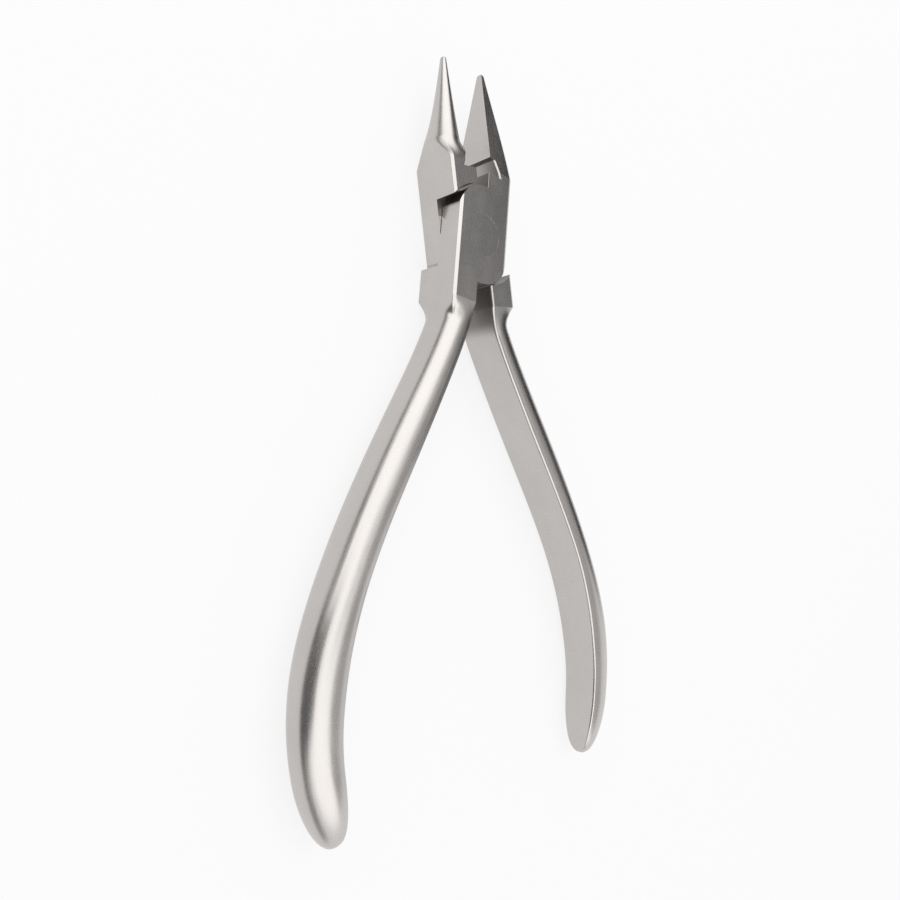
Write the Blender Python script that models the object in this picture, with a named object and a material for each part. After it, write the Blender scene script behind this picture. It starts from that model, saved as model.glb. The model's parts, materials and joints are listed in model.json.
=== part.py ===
"""Bird-beak orthodontic pliers: two one-piece arms on a half-lap joint with a flush rivet.

The pliers lie flat. X runs across them, +Y runs from the handles to the beak tips and +Z is up,
out of the face that the photograph shows. The origin is where the pivot's axis meets the surface
below. Each arm is drawn closed, about its pivot, and is then turned to the rest opening.
"""
import math

import bmesh
import bpy
from mathutils import Matrix, Vector

MM = 0.001

# Lap joint
JOINT_THICKNESS = 9.4 * MM
JOINT_HALF_WIDTH = 6.15 * MM
JOINT_TOP = 13.0 * MM
JOINT_BOTTOM = 12.8 * MM
SHOULDER_RADIUS = 9.15 * MM
SIDE_BEVEL_ACROSS = 0.6 * MM
SIDE_BEVEL_DEEP = 0.3 * MM
INNER_BEVEL = 0.08 * MM
SHOULDER_CORNER = 1.0 * MM

# Clearances
LAP_CLEARANCE = 0.1 * MM
SHOULDER_CLEARANCE = 0.1 * MM
BEAK_PARTING = 0.3 * MM
HANDLE_PARTING = 0.7 * MM
RIVET_CLEARANCE = 0.06 * MM
PLATE_END_OVERHANG = 0.15 * MM

# Rivet
RIVET_SHANK_RADIUS = 2.6 * MM
RIVET_HEAD_RADIUS = 3.8 * MM
RIVET_HEAD_DEPTH = 1.4 * MM

# Beaks
BEAK_LENGTH = 20.4 * MM
PYRAMID_TIP_WIDTH = 0.85 * MM
PYRAMID_TIP_THICKNESS = 1.0 * MM
PYRAMID_RELIEF = 0.45 * MM
CONE_TIP_RADIUS = 0.5 * MM
CONE_ROOT_RADIUS = 2.76 * MM
CONE_FLARE = 0.45 * MM
CONE_SHOULDER_SLOPE = 0.2
CONE_ROOT_DISTANCE = 4.5 * MM

# Wire relief notch between the beaks
NOTCH_HEIGHT = 3.3 * MM
NOTCH_DEPTH = 3.07 * MM
NOTCH_TOP_DEPTH = 1.6 * MM
NOTCH_SHELF = 1.05 * MM
CONE_NOTCH_RUNOUT = 6.0 * MM

# Handles
HANDLE_ROOT = (3.75 * MM, 17.6 * MM)
HANDLE_BOW = (23.45 * MM, 78.0 * MM)
HANDLE_END = (17.9 * MM, 100.6 * MM)
HANDLE_ROOT_ANGLE = math.radians(18.0)
HANDLE_END_ANGLE = math.radians(20.0)
HANDLE_ROOT_WIDTH = 5.1 * MM
HANDLE_MID_WIDTH = 5.8 * MM
HANDLE_BOW_WIDTH = 6.9 * MM
HANDLE_END_WIDTH = 6.1 * MM
HANDLE_ROOT_THICKNESS = 8.6 * MM
HANDLE_MID_THICKNESS = 9.0 * MM
HANDLE_BOW_THICKNESS = 7.4 * MM
HANDLE_OUTER_FLAT = 2.5 * MM
HANDLE_INNER_FLAT_SHARE = 0.95
HANDLE_CROWN_PLACE = 0.3
HANDLE_TIP_ROUNDING = 11.0 * MM
HANDLE_TIP_LEAN = 0.9 * MM

# Opening, counted from closed beaks
REST_OPENING = math.radians(14.6)

# Mesh fineness
SIDE_STEPS = 4
FACE_STEPS = 6
CORNER_STEPS = 2
HANDLE_STEPS = 36
TIP_STEPS = 7
ROUND_STEPS = 64
SHARP_ANGLE = math.radians(24)

HALF_THICKNESS = JOINT_THICKNESS / 2
HALF_PARTING = BEAK_PARTING / 2
PLATE_REACH = SHOULDER_RADIUS - SHOULDER_CLEARANCE


def lerp(a, b, t):
    return a + (b - a) * t


def smooth(t):
    t = min(max(t, 0.0), 1.0)
    return t * t * (3 - 2 * t)


def spread(start, end, steps):
    """Points from start to end, without the end itself."""
    return [lerp(start, end, i / steps) for i in range(steps)]


# Rings. Each is a list of (across, up) pairs with the same count and the same order: the inner
# side going up, the front face going out, the outer side going down, the rear face going in.

def block_ring(inner, outer, half, bevel_across, bevel_deep, inner_bevel):
    """A rectangle with a bevel on its outer corners and a small one on its inner corners."""
    corners = [
        ((inner, -half + inner_bevel), (inner, half - inner_bevel), SIDE_STEPS),
        ((inner, half - inner_bevel), (inner + inner_bevel, half), CORNER_STEPS),
        ((inner + inner_bevel, half), (outer - bevel_across, half), FACE_STEPS),
        ((outer - bevel_across, half), (outer, half - bevel_deep), CORNER_STEPS),
        ((outer, half - bevel_deep), (outer, -half + bevel_deep), SIDE_STEPS),
        ((outer, -half + bevel_deep), (outer - bevel_across, -half), CORNER_STEPS),
        ((outer - bevel_across, -half), (inner + inner_bevel, -half), FACE_STEPS),
        ((inner + inner_bevel, -half), (inner, -half + inner_bevel), CORNER_STEPS),
    ]
    ring = []
    for start, end, steps in corners:
        for i in range(steps):
            ring.append((lerp(start[0], end[0], i / steps), lerp(start[1], end[1], i / steps)))
    return ring


def round_ring(centre, radius):
    """A circle whose points match the block ring's, starting at the foot of the inner side."""
    count = 2 * SIDE_STEPS + 2 * FACE_STEPS + 4 * CORNER_STEPS
    first = math.pi + math.pi * SIDE_STEPS / count
    ring = []
    for i in range(count):
        angle = first - 2 * math.pi * i / count
        ring.append((centre + radius * math.cos(angle), radius * math.sin(angle)))
    return ring


def grip_ring(inner, outer, half, outer_flat):
    """A handle's section: flat inner side, crowned front and rear, narrow flat outer side."""
    width = outer - inner
    inner_half = half * HANDLE_INNER_FLAT_SHARE
    outer_half = min(outer_flat / 2, half * HANDLE_INNER_FLAT_SHARE)
    crown = inner + width * HANDLE_CROWN_PLACE
    front_steps = FACE_STEPS + 2 * CORNER_STEPS

    def front_height(across):
        if across < crown:
            back = (crown - across) / (crown - inner)
            return half - (half - inner_half) * back ** 2.4
        out = (across - crown) / (outer - crown)
        return outer_half + (half - outer_half) * math.sqrt(max(0.0, 1 - out * out))

    across_points = []
    for i in range(front_steps + 1):
        turn = math.pi * i / front_steps
        across_points.append(inner + width * (1 - math.cos(turn)) / 2)
    front = [(across, front_height(across)) for across in across_points]
    ring = [(inner, up) for up in spread(-inner_half, inner_half, SIDE_STEPS)]
    ring += front[:-1]
    ring += [(outer, up) for up in spread(outer_half, -outer_half, SIDE_STEPS)]
    ring += [(across, -up) for across, up in reversed(front[1:])]
    return ring


def blend_rings(first, second, t):
    return [(lerp(a[0], b[0], t), lerp(a[1], b[1], t)) for a, b in zip(first, second)]


# Mesh helpers

def new_object(name, mesh):
    obj = bpy.data.objects.new(name, mesh)
    bpy.context.scene.collection.objects.link(obj)
    return obj


def finish_mesh(name, bm):
    bmesh.ops.recalc_face_normals(bm, faces=bm.faces)
    mesh = bpy.data.meshes.new(name)
    bm.to_mesh(mesh)
    bm.free()
    mesh.shade_smooth()
    mesh.set_sharp_from_angle(angle=SHARP_ANGLE)
    return mesh


def loft_mesh(name, rings, side):
    """Skin a list of (ring, place, direction across) and close both ends.

    side is +1 for a beak, whose outer side is at +X, and -1 for a handle.
    """
    bm = bmesh.new()
    loops = []
    for ring, place, across in rings:
        loop = []
        for out, up in ring:
            flat = place + across * out
            loop.append(bm.verts.new((side * flat.x, flat.y, up)))
        loops.append(loop)
    for lower, upper in zip(loops, loops[1:]):
        for i in range(len(lower)):
            j = (i + 1) % len(lower)
            bm.faces.new((lower[i], lower[j], upper[j], upper[i]))
    bm.faces.new(loops[0])
    bm.faces.new(loops[-1])
    return finish_mesh(name, bm)


def prism_mesh(name, outline, low, high):
    """Extrude a closed outline of (x, y) points from the height low to the height high."""
    bm = bmesh.new()
    base = bm.faces.new([bm.verts.new((x, y, low)) for x, y in outline])
    grown = bmesh.ops.extrude_face_region(bm, geom=[base])
    top = [item for item in grown["geom"] if isinstance(item, bmesh.types.BMVert)]
    bmesh.ops.translate(bm, verts=top, vec=(0, 0, high - low))
    return finish_mesh(name, bm)


def turned_mesh(name, profile):
    """Turn a profile of (radius, z) points, which starts and ends on the Z axis."""
    bm = bmesh.new()
    rings = []
    for radius, height in profile[1:-1]:
        ring = []
        for i in range(ROUND_STEPS):
            angle = 2 * math.pi * i / ROUND_STEPS
            ring.append(bm.verts.new((radius * math.cos(angle), radius * math.sin(angle), height)))
        rings.append(ring)
    for lower, upper in zip(rings, rings[1:]):
        for i in range(ROUND_STEPS):
            j = (i + 1) % ROUND_STEPS
            bm.faces.new((lower[i], lower[j], upper[j], upper[i]))
    bm.faces.new(rings[0])
    bm.faces.new(rings[-1])
    return finish_mesh(name, bm)


def arc(centre, radius, start, end, steps):
    """Points on an arc, both ends included, with angles in degrees."""
    points = []
    for i in range(steps + 1):
        angle = math.radians(lerp(start, end, i / steps))
        points.append((centre[0] + radius * math.cos(angle), centre[1] + radius * math.sin(angle)))
    return points


# Shapes of one arm, drawn closed, with its plate in the upper half of the joint, its beak at +X
# and its handle at -X

def beak_blank_rings():
    """The part of a beak inside the joint, as a straight block."""
    ring = block_ring(HALF_PARTING, JOINT_HALF_WIDTH, HALF_THICKNESS,
                      SIDE_BEVEL_ACROSS, SIDE_BEVEL_DEEP, INNER_BEVEL)
    along = Vector((1, 0))
    return [(ring, Vector((0, place)), along) for place in (0.3 * JOINT_TOP, JOINT_TOP)]


def pyramid_mesh():
    """A square pyramid whose working face is flat and almost on the parting line."""
    rings = beak_blank_rings()
    for t in (0.06, 0.16, 0.3, 0.45, 0.6, 0.75, 0.88, 0.97, 1.0):
        ease = t - 0.35 * t * (1 - t) * (1 - t)
        inner = HALF_PARTING + PYRAMID_RELIEF * smooth(t * 6) * (1 - t)
        outer = lerp(JOINT_HALF_WIDTH, HALF_PARTING + PYRAMID_TIP_WIDTH, ease)
        half = lerp(HALF_THICKNESS, PYRAMID_TIP_THICKNESS / 2, t)
        across = lerp(SIDE_BEVEL_ACROSS, PYRAMID_TIP_WIDTH * 0.3, t)
        deep = lerp(SIDE_BEVEL_DEEP, PYRAMID_TIP_THICKNESS * 0.25, t)
        inner_bevel = lerp(INNER_BEVEL, PYRAMID_TIP_WIDTH * 0.15, t)
        if t == 1.0:
            shrink = PYRAMID_TIP_WIDTH * 0.18
            inner += shrink
            outer -= shrink
            half -= shrink
        ring = block_ring(inner, outer, half, across, deep, inner_bevel)
        rings.append((ring, Vector((0, JOINT_TOP + BEAK_LENGTH * t)), Vector((1, 0))))
    return loft_mesh("pyramid_beak", rings, 1)


def cone_radius(distance):
    """Radius at a distance above the joint: straight cone, flare at its root, wider shoulder."""
    straight = BEAK_LENGTH - CONE_ROOT_DISTANCE
    along = (distance - CONE_ROOT_DISTANCE) / straight
    if along < 0:
        return CONE_ROOT_RADIUS + CONE_FLARE + CONE_SHOULDER_SLOPE * (CONE_ROOT_DISTANCE - distance)
    return lerp(CONE_ROOT_RADIUS, CONE_TIP_RADIUS, along) + CONE_FLARE * (1 - along) ** 4


def cone_mesh():
    """A round cone that swells through a shoulder into the joint's block."""
    rings = beak_blank_rings()
    across = Vector((1, 0))
    for t in (0.1, 0.22, 0.34, 0.46, 0.58, 0.7, 0.82, 0.92):
        distance = CONE_ROOT_DISTANCE * t
        radius = cone_radius(distance)
        lean = distance / BEAK_LENGTH
        block = block_ring(HALF_PARTING, lerp(JOINT_HALF_WIDTH, HALF_PARTING, lean),
                           lerp(HALF_THICKNESS, CONE_TIP_RADIUS, lean),
                           SIDE_BEVEL_ACROSS, SIDE_BEVEL_DEEP, INNER_BEVEL)
        ring = blend_rings(block, round_ring(HALF_PARTING + radius, radius), smooth(t))
        rings.append((ring, Vector((0, JOINT_TOP + distance)), across))
    for t in (0.0, 0.1, 0.2, 0.32, 0.45, 0.6, 0.75, 0.88, 0.96, 0.988, 1.0):
        distance = lerp(CONE_ROOT_DISTANCE, BEAK_LENGTH, t)
        radius = cone_radius(distance)
        round_off = {0.988: 0.9, 1.0: 0.55}.get(t, 1.0)
        ring = round_ring(HALF_PARTING + radius, radius * round_off)
        rings.append((ring, Vector((0, JOINT_TOP + distance)), across))
    return loft_mesh("cone_beak", rings, 1)


def bezier(points, t):
    a, b, c, d = points
    s = 1 - t
    return a * s ** 3 + b * (3 * s * s * t) + c * (3 * s * t * t) + d * t ** 3


def bezier_direction(points, t):
    a, b, c, d = points
    s = 1 - t
    return ((b - a) * (s * s) + (c - b) * (2 * s * t) + (d - c) * (t * t)).normalized()


def handle_curves():
    """Two Bezier curves along a handle's centre, root to bow and bow to end."""
    root = Vector((HANDLE_ROOT[0], -HANDLE_ROOT[1]))
    bow = Vector((HANDLE_BOW[0], -HANDLE_BOW[1]))
    end = Vector((HANDLE_END[0], -HANDLE_END[1]))
    leave = Vector((math.sin(HANDLE_ROOT_ANGLE), -math.cos(HANDLE_ROOT_ANGLE)))
    arrive = Vector((-math.sin(HANDLE_END_ANGLE), -math.cos(HANDLE_END_ANGLE)))
    down = Vector((0, -1))
    upper = (bow - root).length * 0.305
    lower = (end - bow).length * 0.4
    outward = (root, root + leave * upper, bow - down * upper, bow)
    inward = (bow, bow + down * lower, end - arrive * lower, end)
    return outward, inward


def handle_line():
    """Points of a handle's centre line, as (place, direction, length from the root)."""
    outward, inward = handle_curves()
    fine = 240
    line = []
    length = 0.0
    last = outward[0]
    for curve in (outward, inward):
        for i in range(fine + 1):
            t = i / fine
            place = bezier(curve, t)
            length += (place - last).length
            line.append((place, bezier_direction(curve, t), length))
            last = place
    return line


def station(line, length):
    """The centre line at a length from the root."""
    for before, after in zip(line, line[1:]):
        if after[2] >= length and after[2] > before[2]:
            t = (length - before[2]) / (after[2] - before[2])
            return before[0].lerp(after[0], t), before[1].lerp(after[1], t).normalized()
    return line[-1][0], line[-1][1]


def grip_size(part):
    """Width and thickness of a handle at a share of its length."""
    if part < 0.5:
        width = lerp(HANDLE_ROOT_WIDTH, HANDLE_MID_WIDTH, smooth(part * 3))
        thickness = lerp(HANDLE_ROOT_THICKNESS, HANDLE_MID_THICKNESS, smooth(part * 2.5))
        return width, thickness
    width = lerp(HANDLE_MID_WIDTH, HANDLE_BOW_WIDTH, smooth((part - 0.5) * 4))
    width = lerp(width, HANDLE_END_WIDTH, smooth((part - 0.72) * 4))
    thickness = lerp(HANDLE_MID_THICKNESS, HANDLE_BOW_THICKNESS, smooth((part - 0.5) * 2))
    return width, thickness


def handle_mesh():
    """Block at the joint, short blend into the grip section, bowed grip, rounded end."""
    gap = HANDLE_PARTING / 2
    centre = (gap + JOINT_HALF_WIDTH) / 2
    half_width = JOINT_HALF_WIDTH - centre
    block = block_ring(-half_width, half_width, HALF_THICKNESS,
                       SIDE_BEVEL_ACROSS, SIDE_BEVEL_DEEP, INNER_BEVEL)
    rings = []
    for place in (0.3 * JOINT_BOTTOM, JOINT_BOTTOM):
        rings.append((block, Vector((centre, -place)), Vector((1, 0))))
    line = handle_line()
    root, direction, _ = line[0]
    total = line[-1][2]
    grip = grip_ring(-HANDLE_ROOT_WIDTH / 2, HANDLE_ROOT_WIDTH / 2, HANDLE_ROOT_THICKNESS / 2,
                     HANDLE_OUTER_FLAT)
    lean = math.atan2(direction.x, -direction.y)
    for t in (0.12, 0.26, 0.4, 0.54, 0.68, 0.84):
        place = Vector((lerp(centre, root.x, t * t), lerp(-JOINT_BOTTOM, root.y, t)))
        across = Vector((math.cos(lean * t * t), math.sin(lean * t * t)))
        rings.append((blend_rings(block, grip, smooth(t * 1.3)), place, across))
    stations = []
    straight = total - HANDLE_TIP_ROUNDING
    for i in range(HANDLE_STEPS):
        stations.append((straight * i / HANDLE_STEPS, 1.0, 0.0))
    for i in range(TIP_STEPS + 1):
        turn = math.pi / 2 * i / (TIP_STEPS + 0.35)
        shift = HANDLE_TIP_LEAN * (1 - math.cos(turn))
        stations.append((straight + HANDLE_TIP_ROUNDING * math.sin(turn), math.cos(turn) ** 0.85, shift))
    for length, share, shift in stations:
        place, direction = station(line, length)
        width, thickness = grip_size(length / total)
        half = width / 2 * share
        across = Vector((-direction.y, direction.x))
        ring = grip_ring(-half, half, thickness / 2 * share, HANDLE_OUTER_FLAT * share)
        rings.append((ring, place - across * shift, across))
    return loft_mesh("handle", rings, -1)


def plate_mesh():
    """Half-thickness plate with bevelled straight sides, before its ends are rounded."""
    low = LAP_CLEARANCE / 2
    high = HALF_THICKNESS
    width = JOINT_HALF_WIDTH
    section = [
        (-width, low),
        (width, low),
        (width, high - SIDE_BEVEL_DEEP),
        (width - SIDE_BEVEL_ACROSS, high),
        (-width + SIDE_BEVEL_ACROSS, high),
        (-width, high - SIDE_BEVEL_DEEP),
    ]
    bm = bmesh.new()
    face = bm.faces.new([bm.verts.new((x, -PLATE_REACH, z)) for x, z in section])
    grown = bmesh.ops.extrude_face_region(bm, geom=[face])
    far = [item for item in grown["geom"] if isinstance(item, bmesh.types.BMVert)]
    bmesh.ops.translate(bm, verts=far, vec=(0, 2 * PLATE_REACH, 0))
    return finish_mesh("plate", bm)


def plate_end_mesh():
    """Cutter that rounds the plate's upper left and lower right ends."""
    radius = JOINT_HALF_WIDTH + PLATE_END_OVERHANG
    centre = PLATE_REACH - radius
    beyond = 2 * SHOULDER_RADIUS
    lean = math.degrees(math.acos(HALF_PARTING / radius))
    upper = arc((0, centre), radius, 180, 180 - lean, 14)
    upper += [(-HALF_PARTING, beyond), (-beyond, beyond), (-beyond, centre)]
    return prism_mesh("plate_end", upper, 0, JOINT_THICKNESS)


def lap_mesh():
    """Cutter for the round recess in the lower half, in which the other arm's plate turns."""
    outline = arc((0, 0), SHOULDER_RADIUS, 0, 360 - 360 / ROUND_STEPS, ROUND_STEPS - 1)
    return prism_mesh("lap_recess", outline, -JOINT_THICKNESS, LAP_CLEARANCE / 2)


def corner_mesh():
    """Cutter that takes the corner off the beak's root where it meets the round recess."""
    left = HALF_PARTING - SHOULDER_CORNER
    low = SHOULDER_RADIUS - SHOULDER_CORNER
    outline = [
        (left, low),
        (HALF_PARTING + 2 * SHOULDER_CORNER, low),
        (left, SHOULDER_RADIUS + 2 * SHOULDER_CORNER),
    ]
    return prism_mesh("shoulder_corner", outline, -JOINT_THICKNESS, LAP_CLEARANCE / 2)


def notch_mesh(runout):
    """Cutter for the wire relief at the beak's root.

    The runout is how much higher the cut ends at the beak's inner side than at its own wall.
    """
    bottom = JOINT_TOP - NOTCH_SHELF
    outline = [
        (-NOTCH_DEPTH, bottom),
        (NOTCH_DEPTH, bottom),
        (NOTCH_TOP_DEPTH, bottom + NOTCH_HEIGHT),
        (-NOTCH_DEPTH, bottom + NOTCH_HEIGHT + runout),
    ]
    return prism_mesh("relief_notch", outline, -JOINT_THICKNESS, JOINT_THICKNESS)


def hole_mesh():
    """Cutter for the rivet's hole, countersunk at both faces."""
    shank = RIVET_SHANK_RADIUS + RIVET_CLEARANCE
    head = RIVET_HEAD_RADIUS + RIVET_CLEARANCE
    slope = (RIVET_HEAD_RADIUS - RIVET_SHANK_RADIUS) / RIVET_HEAD_DEPTH
    above = 0.5 * MM
    profile = [
        (0, -HALF_THICKNESS - above),
        (head + slope * above, -HALF_THICKNESS - above),
        (shank, -HALF_THICKNESS + RIVET_HEAD_DEPTH),
        (shank, HALF_THICKNESS - RIVET_HEAD_DEPTH),
        (head + slope * above, HALF_THICKNESS + above),
        (0, HALF_THICKNESS + above),
    ]
    return turned_mesh("rivet_hole", profile)


def rivet_mesh():
    profile = [
        (0, -HALF_THICKNESS),
        (RIVET_HEAD_RADIUS, -HALF_THICKNESS),
        (RIVET_SHANK_RADIUS, -HALF_THICKNESS + RIVET_HEAD_DEPTH),
        (RIVET_SHANK_RADIUS, HALF_THICKNESS - RIVET_HEAD_DEPTH),
        (RIVET_HEAD_RADIUS, HALF_THICKNESS),
        (0, HALF_THICKNESS),
    ]
    return turned_mesh("rivet", profile)


# Assembly

def steel(name, colour, roughness):
    material = bpy.data.materials.new(name)
    material.use_nodes = True
    shader = material.node_tree.nodes["Principled BSDF"]
    shader.inputs["Base Color"].default_value = (*colour, 1)
    shader.inputs["Metallic"].default_value = 1.0
    shader.inputs["Roughness"].default_value = roughness
    material.diffuse_color = (*colour, 1)
    return material


def guide(name, mesh, arm):
    """A shape that only serves an arm's Boolean modifiers."""
    obj = new_object(name, mesh)
    obj.parent = arm
    obj.hide_render = True
    obj.display_type = "WIRE"
    return obj


def combine(arm, operation, other):
    modifier = arm.modifiers.new(other.name, "BOOLEAN")
    modifier.operation = operation
    modifier.solver = "EXACT"
    modifier.object = other


def make_arm(name, beak, notch_runout, material, flipped, opening):
    """Build one arm about the pivot and turn it to its share of the rest opening."""
    plate = new_object(name + "_plate", plate_mesh())
    arm = new_object(name, beak)
    upper_end = guide(name + "_upper_end", plate_end_mesh(), arm)
    lower_end = guide(name + "_lower_end", plate_end_mesh(), arm)
    lower_end.rotation_euler = (0, 0, math.pi)
    combine(plate, "DIFFERENCE", upper_end)
    combine(plate, "DIFFERENCE", lower_end)
    plate.parent = arm
    plate.hide_render = True
    plate.display_type = "WIRE"
    combine(arm, "UNION", guide(name + "_handle_blank", handle_mesh(), arm))
    combine(arm, "DIFFERENCE", guide(name + "_lap_recess", lap_mesh(), arm))
    combine(arm, "DIFFERENCE", guide(name + "_shoulder_corner", corner_mesh(), arm))
    combine(arm, "UNION", plate)
    combine(arm, "DIFFERENCE", guide(name + "_notch", notch_mesh(notch_runout), arm))
    combine(arm, "DIFFERENCE", guide(name + "_rivet_hole", hole_mesh(), arm))
    arm.data.materials.append(material)
    turn = Matrix.Rotation(opening, 4, "Z")
    if flipped:
        turn = turn @ Matrix.Rotation(math.pi, 4, "Y")
    arm.matrix_world = Matrix.Translation((0, 0, HALF_THICKNESS)) @ turn
    return arm


def main():
    for old in list(bpy.data.objects):
        bpy.data.objects.remove(old, do_unlink=True)
    arm_steel = steel("satin_steel", (0.56, 0.55, 0.53), 0.28)
    rivet_steel = steel("rivet_steel", (0.52, 0.51, 0.5), 0.3)
    make_arm("front_arm", pyramid_mesh(), 0, arm_steel, False, -REST_OPENING / 2)
    make_arm("rear_arm", cone_mesh(), CONE_NOTCH_RUNOUT, arm_steel, True, REST_OPENING / 2)
    rivet = new_object("pivot_rivet", rivet_mesh())
    rivet.location = (0, 0, HALF_THICKNESS)
    rivet.data.materials.append(rivet_steel)


main()
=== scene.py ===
"""Bird-beak orthodontic pliers in satin steel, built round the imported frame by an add-on.

Each arm is drawn closed, about its pivot, with its beak at +X and +Y, its handle at -X and -Y and
its plate in the upper half of the joint. It is then turned to its share of the rest opening.
"""
import json
import math

import bmesh
import bpy
from bpy.props import FloatProperty, FloatVectorProperty, PointerProperty
from mathutils import Matrix, Vector


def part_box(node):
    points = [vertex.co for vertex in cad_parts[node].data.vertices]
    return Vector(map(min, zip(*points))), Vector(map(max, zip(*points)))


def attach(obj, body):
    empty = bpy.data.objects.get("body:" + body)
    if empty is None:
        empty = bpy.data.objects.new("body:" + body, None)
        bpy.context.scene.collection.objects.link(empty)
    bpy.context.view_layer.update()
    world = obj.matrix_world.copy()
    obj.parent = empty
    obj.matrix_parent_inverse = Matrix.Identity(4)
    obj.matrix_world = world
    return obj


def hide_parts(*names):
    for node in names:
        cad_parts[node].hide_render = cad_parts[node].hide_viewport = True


bl_info = {
    "name": "Bird-beak pliers",
    "version": (1, 0, 0),
    "blender": (4, 5, 0),
    "location": "3D View > Sidebar > Pliers",
    "description": "Builds bird-beak orthodontic pliers in satin steel and a pale studio for them",
    "category": "Add Mesh",
}

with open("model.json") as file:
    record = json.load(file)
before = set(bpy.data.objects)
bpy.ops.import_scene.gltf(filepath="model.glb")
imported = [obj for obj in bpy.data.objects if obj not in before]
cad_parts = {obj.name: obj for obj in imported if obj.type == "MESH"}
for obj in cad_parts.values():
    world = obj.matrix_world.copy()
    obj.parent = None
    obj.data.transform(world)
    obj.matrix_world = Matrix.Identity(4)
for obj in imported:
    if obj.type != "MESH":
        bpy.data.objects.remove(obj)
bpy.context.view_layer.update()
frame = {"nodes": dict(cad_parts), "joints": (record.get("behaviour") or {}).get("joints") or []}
RIVET_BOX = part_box("pivot_rivet")
MM = 0.001

# Points in each zone of a section's front half: side, corner, face, corner, side
SIDE_STEPS = 10
CORNER_STEPS = 7
FACE_STEPS = 14

# Points round the recess, the rivet and its hole
ROUND_STEPS = 192

# Where a block starts inside the joint, as a share of its reach from the pivot
BLOCK_START = 0.3

# Which finish a face has, as its material index while an arm is being put together
# Machined and dull faces are later painted darker, as unpolished steel and as painted shade in the
# recesses.
SATIN, POLISHED, MACHINED, DULL = range(4)

CAMERA_SHIFT = (-0.021, -0.02)
SENSOR_WIDTH = 36

# Panels that only reflections see: name, distance, azimuths, elevations. A nearer one hides others.
PANELS = (
    ("low_right", 0.66, (-14, 64), (-20, 42)),
    ("right", 0.68, (6, 53), (-20, 66)),
    ("side", 0.72, (-60, 16), (30, 72)),
    ("near", 0.74, (158, 216), (-3, 62)),
    ("low", 0.76, (40, 275), (-3, 22)),
    ("bright", 0.78, (42, 172), (10, 84)),
    ("top", 0.8, (110, 330), (28, 89)),
)


def amount(name, description, default, low=0.0, **kind):
    """A number that isn't below a lower limit."""
    return FloatProperty(name=name, description=description, default=default, min=low, **kind)


def length(name, description, default):
    """A size in metres."""
    return amount(name, description, default, subtype="DISTANCE", unit="LENGTH", precision=5)


def share(name, description, default):
    """A number from 0 to 1."""
    return amount(name, description, default, max=1.0, subtype="FACTOR")


def angle(name, description, default):
    """An angle that is given in degrees and kept in radians."""
    return FloatProperty(name=name, description=description, default=math.radians(default),
                         subtype="ANGLE", unit="ROTATION")


def place(name, description, default):
    """A point of the arm's own plane: across and along."""
    return FloatVectorProperty(name=name, description=description, default=default, size=2,
                               unit="LENGTH", precision=5)


def colour(name, description, default):
    """A linear colour."""
    return FloatVectorProperty(name=name, description=description, default=default, size=3,
                               min=0.0, max=1.0, subtype="COLOR")


class PliersJoint(bpy.types.PropertyGroup):
    """Sizes of the half-lap joint."""

    thickness: length("Thickness", "Front face to rear face", RIVET_BOX[1].z - RIVET_BOX[0].z)
    half_width: length("Half width", "Pivot to the joint's side", 6.15 * MM)
    top: length("Top", "Pivot to the upper end of the straight block", 13.0 * MM)
    bottom: length("Bottom", "Pivot to the lower end of the straight block", 12.8 * MM)
    recess_radius: length("Recess radius", "Round recess in which a plate turns", 9.15 * MM)
    bevel_across: length("Bevel across", "Side bevel, measured on the face", 0.6 * MM)
    bevel_deep: length("Bevel deep", "Side bevel, measured on the side", 0.3 * MM)
    inner_round: length("Inner round", "Rounding of the edges along the parting line", 0.06 * MM)
    corner_cut: length("Corner cut", "Corner taken off a beak's root beside the recess", 1.0 * MM)
    # Painted shade: the handles' inner sides are painted darker from the joint down to this reach,
    # then fade to satin over the next length.
    raw_and_shade_root: length("Raw root", "Pivot to where the handles' inner sides turn satin", 15.3 * MM)
    raw_and_shade_fade: length("Raw fade", "Length over which the inner sides turn satin", 3.0 * MM)
    lap_gap: length("Lap gap", "Between the two plates", 0.1 * MM)
    end_gap: length("End gap", "Between a plate's end and the recess", 0.1 * MM)
    end_overhang: length("End overhang", "Extra radius of a plate's round end", 0.15 * MM)
    edge_round: length("Edge round", "Width of the broken edges", 0.1 * MM)
    opening: angle("Opening", "Angle between closed and rest", -frame["joints"][0]["range_deg"][0])


class PliersBeaks(bpy.types.PropertyGroup):
    """Sizes of the pyramid beak, the cone beak and the relief notch at their roots."""

    reach: length("Length", "From the straight block to the tip", 20.4 * MM)
    parting: length("Parting", "Between the closed beaks", 0.3 * MM)
    pyramid_tip_width: length("Pyramid tip width", "Across the tip", 0.85 * MM)
    pyramid_tip_thickness: length("Pyramid tip thickness", "Front to rear at the tip", 1.0 * MM)
    pyramid_relief: length("Pyramid relief", "Hollow behind the working tip", 0.45 * MM)
    cone_tip_radius: length("Cone tip radius", "Radius at the cone's tip", 0.5 * MM)
    cone_root_radius: length("Cone root radius", "Radius of the straight cone at its root",
                             2.76 * MM)
    cone_flare: length("Cone flare", "Extra radius where the cone meets its shoulder", 0.45 * MM)
    cone_slope: share("Shoulder slope", "Growth of the radius through the shoulder", 0.2)
    cone_root: length("Cone root", "From the straight block to the round cone", 4.5 * MM)
    notch_height: length("Notch height", "Height of the notch's wall", 3.3 * MM)
    notch_depth: length("Notch depth", "Depth of the notch at its foot", 3.07 * MM)
    notch_top_depth: length("Notch top depth", "Depth of the notch at its top", 1.6 * MM)
    notch_drop: length("Notch drop", "From the top of the block down to the notch's foot",
                       1.05 * MM)
    notch_bevel: length("Notch bevel", "Bevel along the notch's edges, on the face", 0.38 * MM)
    notch_runout: length("Notch run-out", "How much higher the cone's notch ends inside", 6.0 * MM)


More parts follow.
